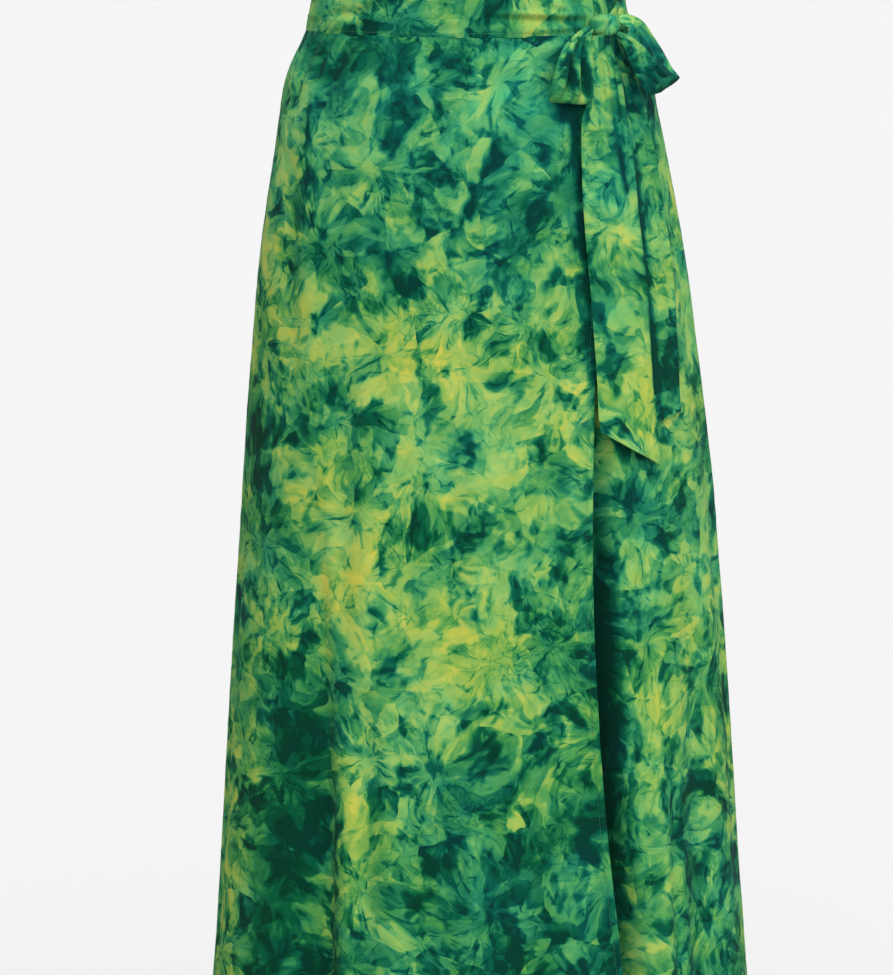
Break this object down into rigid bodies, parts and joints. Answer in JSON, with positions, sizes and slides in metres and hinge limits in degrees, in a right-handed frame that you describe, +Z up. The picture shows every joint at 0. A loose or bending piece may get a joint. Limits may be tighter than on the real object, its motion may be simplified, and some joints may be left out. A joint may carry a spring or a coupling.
{
  "type": "wrap skirt",
  "caption": "Long A-line wrap skirt in soft printed cloth, worn and hollow, open at waist and hem, tied in a bow with hanging ends over one hip.",
  "frame": {"origin": "middle of the waist opening, 2.5 cm under the waistband's top edge, where the wearer holds the skirt up", "axes": "+Z up along the skirt's length, the front faces -Y, +X towards the side with the bow"},
  "size_m": [0.4713, 0.3486, 0.9616],
  "materials": {
    "panel_cloth": "soft matt viscose with a green and lime tie-dye print",
    "band_cloth": "the same printed cloth, double, lightly crumpled by the tie",
    "tie_cloth": "the same printed cloth, double and pressed flat"
  },
  "bodies": {
    "root": {"over_front_panel": "panel_cloth", "under_front_panel": "panel_cloth", "back_panel": "panel_cloth", "waistband": "band_cloth", "tie_knot": "tie_cloth", "tie_loop_left": "tie_cloth", "tie_loop_right": "tie_cloth", "tie_tail_front": "tie_cloth", "tie_tail_back": "tie_cloth", "tie_lead": "tie_cloth"}
  },
  "joints": []
}
